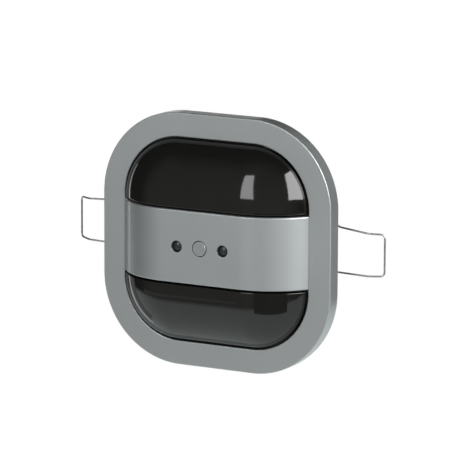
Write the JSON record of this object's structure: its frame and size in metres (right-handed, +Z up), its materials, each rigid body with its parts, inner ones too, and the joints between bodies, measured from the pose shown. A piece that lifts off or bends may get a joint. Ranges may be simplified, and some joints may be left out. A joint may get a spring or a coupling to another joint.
{
  "type": "presence detector",
  "caption": "Flush ceiling presence detector: rounded-square silver cover with a bowed band over a smoked dome, a push button, and a round body held by sprung wire loops.",
  "frame": {"origin": "centre of the cover's back rim, in the plane of the ceiling", "axes": "-Y is the way the cover faces, +Y goes into the ceiling, +Z is up in the picture, +X is right seen from the front"},
  "size_m": [0.1556, 0.0605, 0.11],
  "materials": {
    "silver_paint": "satin metallic silver-grey paint with a very fine grain",
    "smoked_lens": "high gloss, smoked almost black",
    "silver_button": "satin metallic silver-grey",
    "dark_window": "gloss, dark",
    "lens_film": "milky",
    "board_laminate": "solder-mask green",
    "black_component": "moulded black",
    "clear_package": "clear resin",
    "dark_chassis": "moulded, fine texture",
    "zinc_screw": "zinc plated",
    "housing_plastic": "light grey moulding with a fine spark texture",
    "foam": "closed-cell foam",
    "relay_case": "moulded",
    "capacitor_can": "sleeved can",
    "terminal_plastic": "moulded grey",
    "sensor_can": "plated can",
    "pin_steel": "ground",
    "spring_wire": "drawn spring wire"
  },
  "bodies": {
    "housing": {"cover_frame": "silver_paint", "lens_dome": "smoked_lens", "light_window_left": "dark_window", "light_window_right": "dark_window", "fresnel_lens_upper": "lens_film", "fresnel_lens_lower": "lens_film", "sensor_board": "board_laminate", "tact_switch": "black_component", "status_led": "clear_package", "light_sensor": "clear_package", "sensor_carrier": "dark_chassis", "carrier_screws": "zinc_screw", "base_housing": "housing_plastic", "foam_seal": "foam", "rear_cover": "housing_plastic", "cover_screws": "zinc_screw", "power_board": "board_laminate", "relay": "relay_case", "transformer": "black_component", "filter_capacitor": "capacitor_can", "board_link": "black_component", "terminal_1": "terminal_plastic", "terminal_2": "terminal_plastic", "terminal_3": "terminal_plastic", "terminal_4": "terminal_plastic", "pyro_sensor_upper_left": "sensor_can", "pyro_sensor_upper_right": "sensor_can", "pyro_sensor_lower_left": "sensor_can", "pyro_sensor_lower_right": "sensor_can", "hinge_pin_left": "pin_steel", "hinge_pin_right": "pin_steel"},
    "push_button": {"push_button": "silver_button"},
    "clip_left": {"spring_clip_left": "spring_wire"},
    "clip_right": {"spring_clip_right": "spring_wire"}
  },
  "joints": [
    {"name": "button_press", "type": "slide", "parent": "housing", "child": "push_button", "axis": [0, 1, 0], "range_m": [0, 0.0006], "stiffness_N_per_m": 2500},
    {"name": "clip_right_fold", "type": "hinge", "parent": "housing", "child": "clip_right", "pos_m": [0.0285, 0.031, 0], "axis": [0, 0, 1], "range_deg": [0, 130], "stiffness_Nm_per_rad": 0.16},
    {"name": "clip_left_fold", "type": "hinge", "parent": "housing", "child": "clip_left", "pos_m": [-0.0285, 0.031, 0], "axis": [0, 0, -1], "range_deg": [-14.4, 115.6], "stiffness_Nm_per_rad": 0.16}
  ]
}
